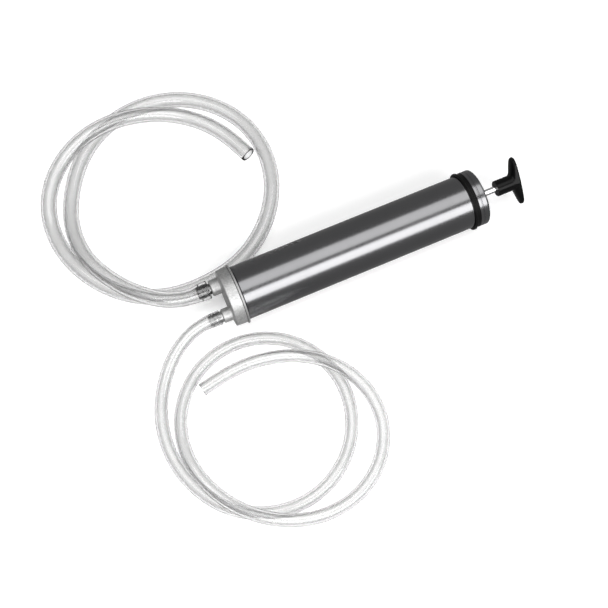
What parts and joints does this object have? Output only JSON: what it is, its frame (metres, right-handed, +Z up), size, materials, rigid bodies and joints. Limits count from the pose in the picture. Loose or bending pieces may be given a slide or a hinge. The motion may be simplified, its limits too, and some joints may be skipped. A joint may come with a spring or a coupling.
{
  "type": "fluid transfer pump",
  "caption": "Hand-operated two-hose fluid transfer pump: steel barrel on its side, T-handle plunger pushed in, two clear vinyl hoses in loose loops on the floor.",
  "frame": {"origin": "on the floor under the middle of the pump's length, with the barrel's axis 30.5 mm above it", "axes": "+X along the barrel towards the T-handle, +Y towards the side of the larger (inlet) port, +Z up"},
  "size_m": [0.4569, 0.485, 0.061],
  "materials": {
    "cast_aluminium": "matte die cast",
    "brushed_barrel_steel": "finely brushed, nearly polished",
    "polished_steel": "polished",
    "plated_steel": "zinc plated",
    "brass": "turned",
    "black_rubber": "satin",
    "black_gloss_plastic": "gloss moulded",
    "clear_vinyl": "clear, slightly milky"
  },
  "bodies": {
    "pump_body": {"base_cap": "cast_aluminium", "cap_o_ring": "black_rubber", "front_gasket": "black_rubber", "front_clamp_ring": "cast_aluminium", "barrel_tube": "brushed_barrel_steel", "rear_rubber_ring": "black_rubber", "rear_cap": "brushed_barrel_steel", "rod_bush": "plated_steel", "bush_nut": "plated_steel", "rod_wiper_seal": "black_rubber", "inlet_fitting": "plated_steel", "outlet_fitting": "plated_steel", "inlet_hose": "clear_vinyl", "outlet_hose": "clear_vinyl"},
    "piston": {"piston_cup": "black_rubber", "piston_front_washer": "plated_steel", "piston_rear_washer": "plated_steel"},
    "handle_rod": {"plunger_rod": "polished_steel", "piston_front_nut": "plated_steel", "piston_rear_nut": "plated_steel", "handle": "black_gloss_plastic", "handle_insert": "brass"},
    "inlet_valve": {"inlet_valve_ball": "polished_steel", "inlet_valve_spring": "polished_steel"},
    "outlet_valve": {"outlet_valve_ball": "polished_steel", "outlet_valve_spring": "polished_steel"}
  },
  "joints": [
    {"name": "plunger_slide", "type": "slide", "parent": "pump_body", "child": "piston", "axis": [1, 0, 0], "range_m": [0, 0.222]},
    {"name": "plunger_turn", "type": "hinge", "parent": "piston", "child": "handle_rod", "pos_m": [0, 0, 0.0305], "axis": [1, 0, 0], "continuous": true},
    {"name": "inlet_valve_lift", "type": "slide", "parent": "pump_body", "child": "inlet_valve", "axis": [1, 0, 0], "range_m": [0, 0.0025], "stiffness_N_per_m": 50, "springref_m": -0.004},
    {"name": "outlet_valve_lift", "type": "slide", "parent": "pump_body", "child": "outlet_valve", "axis": [-1, 0, 0], "range_m": [0, 0.0025], "stiffness_N_per_m": 50, "springref_m": -0.004}
  ]
}
